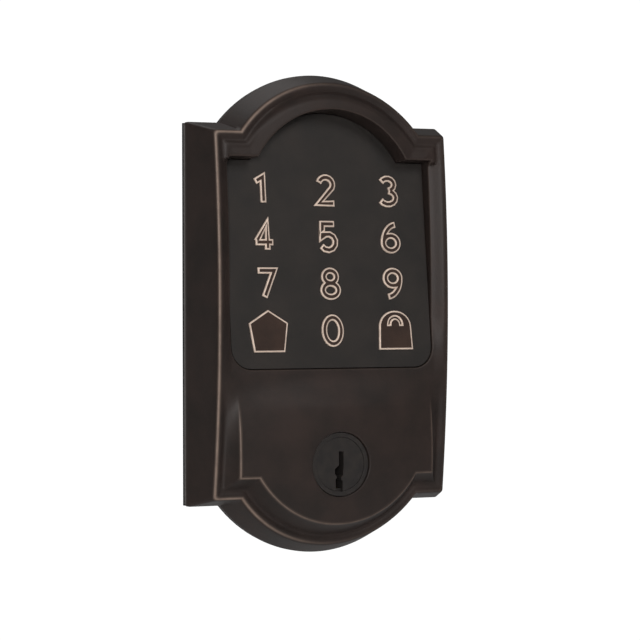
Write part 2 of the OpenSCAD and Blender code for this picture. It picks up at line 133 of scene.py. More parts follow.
def arched_ring(line, inset):
    """The outline's points, set in by a distance: up the right side and down the left."""
    corner = 0.9
    w = line["w"] - inset
    r = line["r"] - inset
    top_c = line["top"] - line["r"]
    low_c = line["low"] + line["r"]
    top_s = line["top_sh"] - inset
    low_s = line["low_sh"] + inset
    top_a = math.acos((top_s - top_c) / r)
    low_a = math.acos((low_c - low_s) / r)
    half = [(r * math.sin(a), low_c - r * math.cos(a)) for a in np.linspace(0, low_a, 38)]
    half += [(x, low_s) for x in np.linspace(r * math.sin(low_a), w - corner, 9)[1:-1]]
    turn = np.linspace(0, math.pi / 2, 6)
    half += [(w - corner + corner * math.sin(a), low_s + corner - corner * math.cos(a)) for a in turn]
    half += [(w, z) for z in np.linspace(low_s + corner, top_s - corner, 128)[1:-1]]
    half += [(w - corner + corner * math.cos(a), top_s - corner + corner * math.sin(a)) for a in turn]
    half += [(x, top_s) for x in np.linspace(w - corner, r * math.sin(top_a), 9)[1:-1]]
    half += [(r * math.sin(a), top_c + r * math.cos(a)) for a in np.linspace(top_a, 0, 38)]
    return np.array(half + [(-x, z) for x, z in half[-2:0:-1]])


def opening_ring(out):
    """The touch panel's outline in the panel's own plane, set out by a distance."""
    w = 30.0 + out
    foot = 5.5 + out
    rise = 12.8
    reach = 22.0
    r = (reach ** 2 + rise ** 2) / (2 * rise)
    centre = 53.3 - r
    shoulder = 40.5 + out
    r += out
    low = -14.3 - out
    half = [(x, low) for x in np.linspace(0, w - foot, 26)]
    half += [(w - foot + foot * math.sin(a), low + foot - foot * math.cos(a))
             for a in np.linspace(0, math.pi / 2, 12)[1:]]
    half += [(w, z) for z in np.linspace(low + foot, shoulder, 62)[1:]]
    half += [(x, shoulder) for x in np.linspace(w, math.sqrt(r ** 2 - (shoulder - centre) ** 2), 12)[1:]]
    top_a = math.acos((shoulder - centre) / r)
    half += [(r * math.sin(a), centre + r * math.cos(a)) for a in np.linspace(top_a, 0, 36)[1:]]
    return np.array(half + [(-x, z) for x, z in half[-2:0:-1]])


def on_panel(flat, height):
    """Points of the panel's plane, moved out from it by a height, in the lock's frame."""
    x, z = flat[:, 0], flat[:, 1]
    s, c = math.sin(PANEL_TILT), math.cos(PANEL_TILT)
    return np.stack([x, -height * c + z * s + PANEL_Y, height * s + z * c + PANEL_MID_Z], axis=1)


def height_to_face(flat):
    """How far the case's front stands out from the panel's plane over each point."""
    height = np.zeros(len(flat))
    for _ in range(6):
        p = on_panel(flat, height)
        over = flat[:, 1] * math.sin(PANEL_TILT) + PANEL_Y - face_depth(p[:, 0], p[:, 2])
        height = over / math.cos(PANEL_TILT)
    return height


def inside(points, loop):
    """Which points lie inside a closed loop."""
    x, z = points[:, 0:1], points[:, 1:2]
    ax, az = loop[:, 0], loop[:, 1]
    bx, bz = np.roll(ax, -1), np.roll(az, -1)
    crosses = (az > z) != (bz > z)
    span = np.where(np.abs(bz - az) < 1e-12, 1e-12, bz - az)
    return (np.sum(crosses & (x < (bx - ax) * (z - az) / span + ax), axis=1) % 2) == 1


def curl(start, corner, end, t):
    """A point on the rounding that runs from one face to the next past their corner."""
    return (1 - t) ** 2 * start + 2 * t * (1 - t) * corner + t ** 2 * end


def left_highlight_weight(x, least):
    """Weight of the pale edge colour, full on the left and falling to least on the right: a painted
    highlight on the left, laid over wear that runs all round.
    """
    return least + (1 - least) * soft_step((6 - x) / 32)


def case_mesh():
    """The case's skin: swept sides and edges, a filled front, the panel's pocket and the plug's hole."""
    rings = []
    wear = []

    def add_ring(points, worn_and_lit):
        rings.append(points)
        wear.append(np.broadcast_to(worn_and_lit, len(points)).astype(float))

    door = arched_ring(DOOR_LINE, 0)
    rim = np.stack([door[:, 0], np.full(len(door), RIM_Y), door[:, 1]], axis=1)
    inner = arched_ring(DOOR_LINE, 0.25)
    add_ring(np.stack([inner[:, 0], np.full(len(door), RIM_Y), inner[:, 1]], axis=1), 0.2)
    add_ring(rim + [0, -0.25, 0], 0.12)
    foot = rim + [0, -1.3, 0]
    add_ring(foot, 0.0)
    edge = arched_ring(RIDGE_LINE, 0)
    crest = np.stack([edge[:, 0], ridge_depth(edge[:, 1]), edge[:, 1]], axis=1)
    lean = crest - foot
    back = crest - lean * (ROUND_D / np.linalg.norm(lean, axis=1))[:, None]
    for t in (0.06, 0.2, 0.4, 0.6, 0.8):
        add_ring(foot + (back - foot) * t, 0.0)
    front = arched_ring(RIDGE_LINE, ROUND_D)
    top = np.stack([front[:, 0], face_depth(front[:, 0], front[:, 1]), front[:, 1]], axis=1)
    for t in np.linspace(0, 1, 9):
        # The pale rub along the ridge's rounding is partly wear and, much heavier on the left, a painted
        # highlight.
        rub_and_highlight = 0.8 * left_highlight_weight(crest[:, 0], 0.12) * math.exp(-((t - 0.55) / 0.17) ** 2)
        add_ring(curl(back, crest, top, t), rub_and_highlight)

    lip_flat = opening_ring(0.7)
    lip = on_panel(lip_flat, height_to_face(lip_flat))
    turn = np.linspace(0, 2 * math.pi, 73)[:-1]
    mouth = np.stack([MOUTH_R * np.cos(turn), MOUTH_R * np.sin(turn)], axis=1)

    spots = [front, lip[:, [0, 2]], mouth]
    links = []
    base = 0
    for loop in spots:
        n = len(loop)
        links += [(base + i, base + (i + 1) % n) for i in range(n)]
        base += n
    guard_out = np.concatenate([lip[:, [0, 2]], mouth])
    for d in (1.7, 2.15, 2.6, 3.0, 3.3, 3.6, 4.0, 4.4, 4.7, 5.0, 5.3, 5.5, 5.65, 5.8, 6.0, 6.4, 7.0):
        ring = arched_ring(RIDGE_LINE, d)
        gap = np.min(np.hypot(ring[:, None, 0] - guard_out[None, :, 0],
                              ring[:, None, 1] - guard_out[None, :, 1]), axis=1)
        free = ~inside(ring, lip[:, [0, 2]]) & (gap > 0.3)
        number = base + np.cumsum(free) - 1
        pair = free & np.roll(free, -1)
        links += [(int(number[i]), int(number[(i + 1) % len(ring)])) for i in np.nonzero(pair)[0]]
        spots.append(ring[free])
        base += int(free.sum())
    for z in np.arange(PAD_Z - 0.75, PAD_Z + 0.8, 0.15):
        row = np.array([(s * x, z) for s in (-1, 1) for x in np.linspace(30.9, 33.2, 6)])
        spots.append(row)
    grid = np.array([(x, z) for x in np.arange(-29, 29.01, 0.9) for z in np.arange(-15, 25, 0.9)])
    depth_in = inset_of(grid[:, 0], grid[:, 1], RIDGE_LINE)
    clear = (depth_in > 7.7) & ~inside(grid, lip[:, [0, 2]])
    clear &= np.hypot(grid[:, 0], grid[:, 1]) > PLUG_HOLE_R + 0.9
    gap = np.min(np.hypot(grid[:, None, 0] - guard_out[None, :, 0],
                          grid[:, None, 1] - guard_out[None, :, 1]), axis=1)
    spots.append(grid[clear & (gap > 0.5)])
    flat = np.concatenate(spots)
    out_co, _, out_faces, _, _, _ = delaunay_2d_cdt([Vector(p) for p in flat], links, [], 0, 1e-6)
    plane = np.array([(v.x, v.y) for v in out_co])
    tris = np.array([f for f in out_faces if len(f) == 3])
    mid = plane[tris].mean(axis=1)
    keep = inside(mid, front) & ~inside(mid, lip[:, [0, 2]]) & ~inside(mid, mouth)
    tris = tris[keep]

    verts = []
    worn_and_lit = []
    faces = []
    for points, w in zip(rings, wear):
        verts.append(points)
        worn_and_lit.append(w)
    n = len(door)
    for k in range(len(rings) - 1):
        for i in range(n):
            j = (i + 1) % n
            faces.append((k * n + i, k * n + j, (k + 1) * n + j, (k + 1) * n + i))
    start = len(rings) * n
    depth = face_depth(plane[:, 0], plane[:, 1])
    verts.append(np.stack([plane[:, 0], depth, plane[:, 1]], axis=1))
    d = inset_of(plane[:, 0], plane[:, 1], RIDGE_LINE)
    z = plane[:, 1]
    # The pale line along the apron's edge is wear, made heavier on the left as a painted highlight.
    rub_and_highlight = 0.6 * np.exp(-((d - APRON_D + 0.05) / 0.22) ** 2) * apron_share(z + 6)
    rub_and_highlight *= left_highlight_weight(plane[:, 0], 0.55)
    worn_and_lit.append(np.clip(rub_and_highlight, 0, 1))
    faces += [tuple(start + t for t in tri) for tri in tris]

    def add_loops(loops, worn_list):
        first = sum(len(v) for v in verts)
        m = len(loops[0])
        for points, w in zip(loops, worn_list):
            verts.append(points)
            worn_and_lit.append(np.full(m, w))
        for k in range(len(loops) - 1):
            for i in range(m):
                j = (i + 1) % m
                faces.append((first + k * m + i, first + k * m + j,
                              first + (k + 1) * m + j, first + (k + 1) * m + i))
        faces.append(tuple(first + (len(loops) - 1) * m + i for i in range(m)))

    wall_flat = opening_ring(0.2)
    height = height_to_face(wall_flat)
    corner = on_panel(wall_flat, height)
    below = on_panel(wall_flat, height - 0.5)
    loops = [curl(lip, corner, below, t) for t in np.linspace(0, 1, 6)]
    loops += [on_panel(wall_flat, (height - 0.5) * (1 - t)) for t in (0.33, 0.66, 1.0)]
    loops += [on_panel(wall_flat, -2.3)]
    add_loops(loops, [0.0, 0.03, 0.06, 0.03, 0.0, 0, 0, 0, 0, 0])

    rim_hole = np.stack([mouth[:, 0], face_depth(mouth[:, 0], mouth[:, 1]), mouth[:, 1]], axis=1)
    bore = mouth * (PLUG_HOLE_R / MOUTH_R)
    corner = np.stack([bore[:, 0], face_depth(bore[:, 0], bore[:, 1]), bore[:, 1]], axis=1)
    loops = [curl(rim_hole, corner, corner + [0, 0.4, 0], t) for t in np.linspace(0, 1, 5)]
    loops += [np.stack([bore[:, 0], np.full(len(bore), y), bore[:, 1]], axis=1) for y in (-14, -10, -6)]
    add_loops(loops, [0.0] * 8)

    faces.append(tuple(range(n - 1, -1, -1)))
    return np.concatenate(verts), faces, np.concatenate(worn_and_lit)


def new_piece(name, points, faces, attribute=None):
    """A mesh object at the origin from points in millimetres, its doubles merged, faces outwards."""
    mesh = bpy.data.meshes.new(name)
    mesh.from_pydata((np.asarray(points) * MM).tolist(), [], faces)
    if attribute is not None:
        layer = mesh.attributes.new("wear", "FLOAT", "POINT")
        layer.data.foreach_set("value", attribute)
    bm = bmesh.new()
    bm.from_mesh(mesh)
    bmesh.ops.remove_doubles(bm, verts=bm.verts, dist=2e-6)
    bmesh.ops.recalc_face_normals(bm, faces=bm.faces)
    bm.to_mesh(mesh)
    bm.free()
    mesh.shade_smooth()
    piece = bpy.data.objects.new(name, mesh)
    bpy.context.scene.collection.objects.link(piece)
    return piece


def finish_of(name):
    """An empty node material and the calls that add a node to it and join two sockets."""
    material = bpy.data.materials.new(name)
    material.use_nodes = True
    tree = material.node_tree
    shader = tree.nodes["Principled BSDF"]

    def add(kind, **settings):
        node = tree.nodes.new(kind)
        for key, value in settings.items():
            if hasattr(node, key):
                setattr(node, key, value)
            else:
                node.inputs[key.replace("_", " ")].default_value = value
        return node

    return material, shader, add, tree.links.new


def srgb(r, g, b):
    """A colour given in screen values, as linear light."""
    lin = [c / 12.92 if c <= 0.04045 else ((c + 0.055) / 1.055) ** 2.4 for c in (r / 255, g / 255, b / 255)]
    return (*lin, 1.0)


def ramp_of(add, stops):
    """A colour ramp with the given stops."""
    node = add("ShaderNodeValToRGB")
    ramp = node.color_ramp
    while len(ramp.elements) < len(stops):
        ramp.elements.new(0.5)
    for element, (at, colour) in zip(ramp.elements, stops):
        element.position = at
        element.color = colour
    return node


def bronze_finish(name, dark, warm, worn_and_lit, metallic, roughness, grain):
    """A dark bronze coat: mottled, finely pebbled, and pale where the mesh's attribute says so:
    rubbed-through wear, and on the case's left edges a painted highlight.
    """
    material, shader, add, join = finish_of(name)
    place = add("ShaderNodeTexCoord")
    cloud = add("ShaderNodeTexNoise", Scale=95.0, Detail=4.0, Roughness=0.55)
    join(place.outputs["Object"], cloud.inputs["Vector"])
    tone = ramp_of(add, [(0.34, dark), (0.68, warm)])
    join(cloud.outputs["Fac"], tone.inputs["Fac"])
    speck = add("ShaderNodeTexNoise", Scale=1500.0, Detail=3.0, Roughness=0.6)
    join(place.outputs["Object"], speck.inputs["Vector"])
    wear = add("ShaderNodeAttribute", attribute_name="wear")
    scuff = add("ShaderNodeTexNoise", Scale=260.0, Detail=4.0, Roughness=0.6)
    join(place.outputs["Object"], scuff.inputs["Vector"])
    spread = add("ShaderNodeMapRange")
    spread.inputs["From Min"].default_value = 0.3
    spread.inputs["From Max"].default_value = 0.7
    spread.inputs["To Min"].default_value = 0.7
    spread.inputs["To Max"].default_value = 1.1
    join(scuff.outputs["Fac"], spread.inputs["Value"])
    rub_and_highlight = add("ShaderNodeMath", operation="MULTIPLY", use_clamp=True)
    join(wear.outputs["Fac"], rub_and_highlight.inputs[0])
    join(spread.outputs["Result"], rub_and_highlight.inputs[1])
    # Mixes in the pale colour: wear, and on the case's left edges a painted highlight.
    coat = add("ShaderNodeMix", data_type="RGBA")
    join(rub_and_highlight.outputs["Value"], coat.inputs["Factor"])
    join(tone.outputs["Color"], coat.inputs["A"])
    coat.inputs["B"].default_value = worn_and_lit
    join(coat.outputs["Result"], shader.inputs["Base Color"])
    gloss = add("ShaderNodeMapRange")
    gloss.inputs["To Min"].default_value = roughness - 0.07
    gloss.inputs["To Max"].default_value = roughness + 0.07
    join(cloud.outputs["Fac"], gloss.inputs["Value"])
    join(gloss.outputs["Result"], shader.inputs["Roughness"])
    shader.inputs["Metallic"].default_value = metallic
    shader.inputs["Specular IOR Level"].default_value = 0.26
    pebble = add("ShaderNodeBump", Strength=grain, Distance=0.0001)
    join(speck.outputs["Fac"], pebble.inputs["Height"])
    join(pebble.outputs["Normal"], shader.inputs["Normal"])
    return material


# The third colour is the rubbed metal; on the case's left edges it is also a painted highlight.
aged_bronze = bronze_finish("aged_bronze", srgb(45, 38, 35), srgb(56, 45, 41), srgb(160, 138, 124),
                            0.12, 0.46, 0.25)
points, faces, wear = case_mesh()
case = new_piece("case_shell", points, faces, wear)


def solid_between(ring, y0, y1):
    """A closed prism on a ring of points, from one depth to another, in millimetres."""
    n = len(ring)
    points = [(x, y, z) for y in (y0, y1) for x, z in ring]
    sides = [(i, (i + 1) % n, n + (i + 1) % n, n + i) for i in range(n)]
    return new_piece("cutter", points, sides + [tuple(range(n)), tuple(range(n, 2 * n))])


def box_ring(x0, x1, z0, z1):
    return [(x0, z0), (x1, z0), (x1, z1), (x0, z1)]


def disc_ring(r, x=0.0, z=0.0, n=96):
    return [(x + r * math.cos(a), z + r * math.sin(a)) for a in np.linspace(0, 2 * math.pi, n + 1)[:-1]]


def tilt_to_panel(piece):
    """Turns a solid drawn against y = 0, z = 0 to lie against the sloping panel."""
    turn = Matrix.Translation((0, PANEL_Y * MM, PANEL_MID_Z * MM)) @ Matrix.Rotation(-PANEL_TILT, 4, "X")
    piece.data.transform(turn)
    return piece


def combine(piece, others, operation):
    """Adds solids to a piece or cuts them from it, and clears them away."""
    for other in others:
        modifier = piece.modifiers.new("combine", "BOOLEAN")
        modifier.operation = operation
        modifier.solver = "EXACT"
        modifier.object = other
    graph = bpy.context.evaluated_depsgraph_get()
    mesh = bpy.data.meshes.new_from_object(piece.evaluated_get(graph))
    piece.modifiers.clear()
    piece.data = mesh
    for other in others:
        bpy.data.objects.remove(other)


hollow = solid_between(box_ring(-31, 31, 1, 81), -10, 1)
combine(hollow, [solid_between(disc_ring(28, 0, 12.6), -10, 1.01),
                 solid_between(box_ring(-25.5, 25.5, -1, 24), CAVITY_Y, -9),
                 solid_between(disc_ring(26, 0, 11.6), CAVITY_Y - 0.01, -9.01)], "UNION")
behind_panel = tilt_to_panel(solid_between(box_ring(-40, 40, -17.3, 62.7), -20, 3.8))
bosses = [solid_between(disc_ring(5.2, s * POST_X, 0, 48), CAVITY_Y - 1, -8) for s in (-1, 1)]
bosses += [solid_between(disc_ring(3.0, s * EAR_X, EAR_Z, 48), CAVITY_Y - 1, -7.4) for s in (-1, 1)]
combine(hollow, [behind_panel] + bosses, "DIFFERENCE")
window = tilt_to_panel(solid_between(box_ring(-25, 25, -9, 38), 0, 4.8))
recess = solid_between(arched_ring(DOOR_LINE, 3.2), PLATE_Y, 1)
bores = [solid_between(disc_ring(2.0, s * POST_X, 0, 32), CAVITY_Y, -7) for s in (-1, 1)]
bores += [solid_between(disc_ring(1.25, s * EAR_X, EAR_Z, 32), CAVITY_Y, -7) for s in (-1, 1)]
bores += [solid_between(disc_ring(1.25, x, z, 32), -9, 0) for x in (-31.2, 31.2) for z in (-5, 83.5)]
combine(case, [hollow, window, recess] + bores, "DIFFERENCE")
case.data.set_sharp_from_angle(angle=math.radians(48))
case.data.materials.append(aged_bronze)
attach(case, "case")
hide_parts("front_case")


# ---------------------------------------------------------------- the panel's seal
# The seal is a thin strip of black rubber that lies on the pocket's ledge, under the panel's edge.
def soft_finish(name, colour, lift, roughness, grain, scale, sheen):
    """A moulded rubber or plastic: a faint mottle over a fine matt grain."""
    material, shader, add, join = finish_of(name)
    place = add("ShaderNodeTexCoord")
    mottle = add("ShaderNodeTexNoise", Scale=140.0, Detail=3.0)
    join(place.outputs["Object"], mottle.inputs["Vector"])
    tone = ramp_of(add, [(0.35, colour), (0.7, lift)])
    join(mottle.outputs["Fac"], tone.inputs["Fac"])
    join(tone.outputs["Color"], shader.inputs["Base Color"])
    fine = add("ShaderNodeTexNoise", Scale=scale, Detail=2.0)
    join(place.outputs["Object"], fine.inputs["Vector"])
    gloss = add("ShaderNodeMapRange")
    gloss.inputs["To Min"].default_value = roughness - 0.06
    gloss.inputs["To Max"].default_value = roughness + 0.06
    join(fine.outputs["Fac"], gloss.inputs["Value"])
    join(gloss.outputs["Result"], shader.inputs["Roughness"])
    shader.inputs["Specular IOR Level"].default_value = sheen
    skin = add("ShaderNodeBump", Strength=grain, Distance=0.00008)
    join(fine.outputs["Fac"], skin.inputs["Height"])
    join(skin.outputs["Normal"], shader.inputs["Normal"])
    return material


def dress(node, material):
    """Gives a finished solid its material in place of the plain one it came with."""
    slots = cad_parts[node].data.materials
    if len(slots) == 0:
        slots.append(None)
    for i in range(len(slots)):
        slots[i] = material


def soften(node, width):
    """Rounds the hard edges of a finished solid without touching its mesh."""
    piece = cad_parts[node]
    weld = piece.modifiers.new("join", "WELD")
    weld.merge_threshold = 2e-6
    bevel = piece.modifiers.new("edge", "BEVEL")
    bevel.width = width * MM
    bevel.segments = 2
    bevel.limit_method = "ANGLE"
    bevel.angle_limit = math.radians(35)


black_rubber = soft_finish("soft_black", srgb(34, 34, 35), srgb(44, 43, 43), 0.78, 0.35, 2600.0, 0.25)
dress("panel_seal", black_rubber)


# ---------------------------------------------------------------- the touch panel
# The touch panel is a thin pressed plate with the same coat, a little cooler, set in the case's pocket.
panel_bronze = bronze_finish("panel_bronze", srgb(48, 45, 43), srgb(55, 50, 47), srgb(120, 100, 90),
                             0.12, 0.48, 0.15)
soften("touch_panel", 0.25)
dress("touch_panel", panel_bronze)


# ---------------------------------------------------------------- the figures on the keys
# Each figure stands half a millimetre proud of the panel, its rim rubbed back to pale metal.
def rimmed_figures():
    """The figures' solids with their top edges eased in two steps and marked as worn."""
    bm = bmesh.new()
    bm.from_mesh(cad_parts["key_figures"].data)
    bmesh.ops.remove_doubles(bm, verts=bm.verts, dist=2e-6)
    out = Vector((0, -math.cos(PANEL_TILT), math.sin(PANEL_TILT)))
    bm.faces.ensure_lookup_table()
    worn_and_lit = bm.verts.layers.float.new("wear")
    for vert in bm.verts:
        vert[worn_and_lit] = 0.6
    tops = [f for f in bm.faces if f.normal.dot(out) > 0.99]
    rim = {v for f in tops for v in f.verts}
    for vert in rim:
        vert[worn_and_lit] = 1.0
        vert.co -= out * 0.16 * MM
    for thickness, raise_by, mark in ((0.12, 0.12, 1.0), (0.26, 0.04, 1.0), (0.08, -0.04, 0.0)):
        bmesh.ops.inset_region(bm, faces=tops, thickness=thickness * MM, use_even_offset=True,
                               use_boundary=True)
        for vert in {v for f in tops for v in f.verts}:
            vert[worn_and_lit] = mark
            vert.co += out * raise_by * MM
    mesh = bpy.data.meshes.new("figures")
    bm.to_mesh(mesh)
    bm.free()
    return mesh


figure_bronze = bronze_finish("worn_bronze", srgb(58, 46, 41), srgb(74, 57, 49), srgb(246, 222, 204),
                              0.3, 0.5, 0.3)
figures = bpy.data.objects.new("figures", rimmed_figures())
bpy.context.scene.collection.objects.link(figures)
figures.data.materials.append(figure_bronze)
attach(figures, "case")
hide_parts("key_figures")


# ---------------------------------------------------------------- the light guide and the lamps
# A frosted acrylic plate behind the panel spreads the light of twelve small lamps on the board.
frosted, shader, add, join = finish_of("clear_guide")
place = add("ShaderNodeTexCoord")
frost = add("ShaderNodeTexNoise", Scale=1800.0, Detail=3.0)
join(place.outputs["Object"], frost.inputs["Vector"])
tone = ramp_of(add, [(0.3, srgb(222, 228, 232)), (0.7, srgb(240, 243, 245))])
join(frost.outputs["Fac"], tone.inputs["Fac"])
join(tone.outputs["Color"], shader.inputs["Base Color"])
shader.inputs["Transmission Weight"].default_value = 0.55
shader.inputs["IOR"].default_value = 1.49
shader.inputs["Roughness"].default_value = 0.42
skin = add("ShaderNodeBump", Strength=0.3, Distance=0.00005)
join(frost.outputs["Fac"], skin.inputs["Height"])
join(skin.outputs["Normal"], shader.inputs["Normal"])
dress("light_guide", frosted)
ivory_plastic = soft_finish("white_plastic", srgb(214, 208, 194), srgb(228, 223, 212),
                            0.5, 0.2, 2200.0, 0.4)
dress("key_lights", ivory_plastic)


# ---------------------------------------------------------------- the circuit board
# The board is glass cloth under a green mask, with copper runs that show through it as lighter lines.
board_green, shader, add, join = finish_of("board_green")
place = add("ShaderNodeTexCoord")
cells = add("ShaderNodeTexVoronoi", feature="DISTANCE_TO_EDGE", distance="MANHATTAN", Scale=230.0)
join(place.outputs["Object"], cells.inputs["Vector"])
runs = ramp_of(add, [(0.06, srgb(52, 128, 84)), (0.1, srgb(26, 84, 56))])
join(cells.outputs["Distance"], runs.inputs["Fac"])
cloth = add("ShaderNodeTexNoise", Scale=900.0, Detail=2.0)
join(place.outputs["Object"], cloth.inputs["Vector"])
blend = add("ShaderNodeMix", data_type="RGBA", blend_type="MULTIPLY")
blend.inputs["Factor"].default_value = 0.35
join(runs.outputs["Color"], blend.inputs["A"])
join(cloth.outputs["Color"], blend.inputs["B"])
join(blend.outputs["Result"], shader.inputs["Base Color"])
shader.inputs["Roughness"].default_value = 0.32
step = add("ShaderNodeBump", Strength=0.4, Distance=0.00005)
join(cells.outputs["Distance"], step.inputs["Height"])
join(step.outputs["Normal"], shader.inputs["Normal"])
dress("touch_board", board_green)


# ---------------------------------------------------------------- the parts on the board
# The touch chip and the buzzer are moulded black, the radio sits under a plated can, and the cable's
# socket is ivory nylon. All are soldered to the back of the board.
def metal_finish(name, colour, lift, roughness, stretch, scratch):
    """A drawn, turned or plated metal: fine lines along its making, and a slightly uneven polish."""
    material, shader, add, join = finish_of(name)
    place = add("ShaderNodeTexCoord")
    along = add("ShaderNodeMapping")
    along.inputs["Scale"].default_value = stretch
    join(place.outputs["Object"], along.inputs["Vector"])
    lines = add("ShaderNodeTexNoise", Scale=1.0, Detail=4.0, Roughness=0.6)
    join(along.outputs["Vector"], lines.inputs["Vector"])
    cloud = add("ShaderNodeTexNoise", Scale=160.0, Detail=3.0)
    join(place.outputs["Object"], cloud.inputs["Vector"])
    tone = ramp_of(add, [(0.3, colour), (0.75, lift)])
    join(cloud.outputs["Fac"], tone.inputs["Fac"])
    join(tone.outputs["Color"], shader.inputs["Base Color"])
    gloss = add("ShaderNodeMapRange")
    gloss.inputs["To Min"].default_value = roughness - 0.1
    gloss.inputs["To Max"].default_value = roughness + 0.12
    join(lines.outputs["Fac"], gloss.inputs["Value"])
    join(gloss.outputs["Result"], shader.inputs["Roughness"])
    shader.inputs["Metallic"].default_value = 1.0
    score = add("ShaderNodeBump", Strength=scratch, Distance=0.00004)
    join(lines.outputs["Fac"], score.inputs["Height"])
    join(score.outputs["Normal"], shader.inputs["Normal"])
    return material


black_plastic = soft_finish("black_plastic", srgb(30, 30, 32), srgb(40, 40, 42), 0.55, 0.25, 2400.0, 0.4)
zinc_plate = metal_finish("zinc_steel", srgb(176, 179, 182), srgb(200, 203, 206),
                          0.34, (900, 60, 900), 0.25)
soften("touch_chip", 0.12)
dress("touch_chip", black_plastic)
dress("buzzer", black_plastic)
dress("radio_module", zinc_plate)
dress("board_connector", ivory_plastic)


# ---------------------------------------------------------------- the screws
# Small cross-head machine screws of plated steel, with a rolled thread, hold the board to the case,
# the cylinder to the case and the back plate to the case.
def add_input(tree, name, kind, value=None):
    socket = tree.interface.new_socket(name, in_out="INPUT", socket_type=kind)
    if value is not None:
        socket.default_value = value
    return socket.identifier


def new_tree(name):
    """An empty node tree for a modifier, with the calls that add and join its nodes."""
    tree = bpy.data.node_groups.new(name, "GeometryNodeTree")
    tree.interface.new_socket("Geometry", in_out="OUTPUT", socket_type="NodeSocketGeometry")
    ids = {"Places": add_input(tree, "Places", "NodeSocketGeometry")}

    def add(kind, inputs=None, **settings):
        node = tree.nodes.new(kind)
        for key, value in settings.items():
            setattr(node, key, value)
        for key, value in (inputs or {}).items():
            if isinstance(value, bpy.types.NodeSocket):
                tree.links.new(value, node.inputs[key])
            else:
                node.inputs[key].default_value = value
        return node

    return tree, ids, add


def place_all(tree, add, entry, shape):
    """Puts the shape on every place, makes it real and gives it its material."""
    spread = add("GeometryNodeInstanceOnPoints", {"Points": entry.outputs["Places"], "Instance": shape,
                                                  "Rotation": entry.outputs["Turn"]})
    real = add("GeometryNodeRealizeInstances", {"Geometry": spread.outputs["Instances"]})
    coat = add("GeometryNodeSetMaterial", {"Geometry": real.outputs["Geometry"],
                                           "Material": entry.outputs["Finish"]})
    end = add("NodeGroupOutput")
    tree.links.new(coat.outputs["Geometry"], end.inputs["Geometry"])


def screw_tree():
    """A cross-head screw that hangs below each place: shank, wound thread and slotted head."""
    tree, ids, add = new_tree("screws")
    for name, value in (("Length", 0.007), ("Thread Radius", 0.0012), ("Pitch", 0.0006),
                        ("Head Radius", 0.0024), ("Head Height", 0.001)):
        ids[name] = add_input(tree, name, "NodeSocketFloat", value)
    ids["Turn"] = add_input(tree, "Turn", "NodeSocketVector")
    ids["Finish"] = add_input(tree, "Finish", "NodeSocketMaterial")
    entry = add("NodeGroupInput")

    def sum_of(a, b, operation="MULTIPLY"):
        node = add("ShaderNodeMath", operation=operation)
        for i, value in enumerate((a, b)):
            if isinstance(value, bpy.types.NodeSocket):
                tree.links.new(value, node.inputs[i])
            else:
                node.inputs[i].default_value = value
        return node.outputs["Value"]

    def lift(geometry, height):
        move = add("ShaderNodeCombineXYZ", {"Z": height})
        return add("GeometryNodeTransform", {"Geometry": geometry, "Translation": move.outputs["Vector"]})

    length = entry.outputs["Length"]
    core = sum_of(entry.outputs["Thread Radius"], 0.86)
    shank = add("GeometryNodeMeshCylinder", {"Vertices": 24, "Radius": core, "Depth": length})
    shank_low = lift(shank.outputs["Mesh"], sum_of(length, -0.5))
    crest = sum_of(entry.outputs["Thread Radius"], 0.12)
    ridge = add("GeometryNodeCurvePrimitiveCircle", {"Resolution": 4, "Radius": crest})
    turns = sum_of(sum_of(length, 0.88), entry.outputs["Pitch"], "DIVIDE")
    ring = sum_of(entry.outputs["Thread Radius"], 0.87)
    helix = add("GeometryNodeCurveSpiral", {"Resolution": 20, "Rotations": turns, "Start Radius": ring,
                                            "End Radius": ring, "Height": sum_of(length, 0.88)})
    thread = add("GeometryNodeCurveToMesh", {"Curve": helix.outputs["Curve"],
                                             "Profile Curve": ridge.outputs["Curve"], "Fill Caps": True})
    thread_low = lift(thread.outputs["Mesh"], sum_of(length, -0.96))
    head_r = entry.outputs["Head Radius"]
    head_h = entry.outputs["Head Height"]
    skirt = add("GeometryNodeMeshCone", {"Vertices": 32, "Radius Top": sum_of(head_r, 0.8),
                                         "Radius Bottom": head_r, "Depth": head_h})
    depth = sum_of(head_h, 1.1)
    bars = []
    for long_x, long_y in ((1.1, 0.26), (0.26, 1.1)):
        size = add("ShaderNodeCombineXYZ", {"X": sum_of(head_r, long_x), "Y": sum_of(head_r, long_y),
                                            "Z": depth})
        bar = add("GeometryNodeMeshCube", {"Size": size.outputs["Vector"]})
        bars.append(lift(bar.outputs["Mesh"], head_h))
    cut = add("GeometryNodeMeshBoolean", {"Mesh 1": skirt.outputs["Mesh"]}, operation="DIFFERENCE")
    for bar in bars:
        tree.links.new(bar.outputs["Geometry"], cut.inputs["Mesh 2"])
    whole = add("GeometryNodeJoinGeometry")
    for part in (shank_low.outputs["Geometry"], thread_low.outputs["Geometry"], cut.outputs["Mesh"]):
        tree.links.new(part, whole.inputs["Geometry"])
    place_all(tree, add, entry, whole.outputs["Geometry"])
    return tree, ids


def made_by(tree, ids, name, places, values):
    """The plain mesh object that a tree makes on a set of places."""
    seat = bpy.data.meshes.new(name)
    seat.from_pydata(places, [], [])
    maker = bpy.data.objects.new(name, seat)
    bpy.context.scene.collection.objects.link(maker)
    modifier = maker.modifiers.new("made", "NODES")
    modifier.node_group = tree
    for key, value in values.items():
        modifier[ids[key]] = value
    graph = bpy.context.evaluated_depsgraph_get()
    mesh = bpy.data.meshes.new_from_object(maker.evaluated_get(graph))
    maker.modifiers.remove(modifier)
    maker.data = mesh
    mesh.shade_smooth()
    mesh.set_sharp_from_angle(angle=math.radians(35))
    return maker


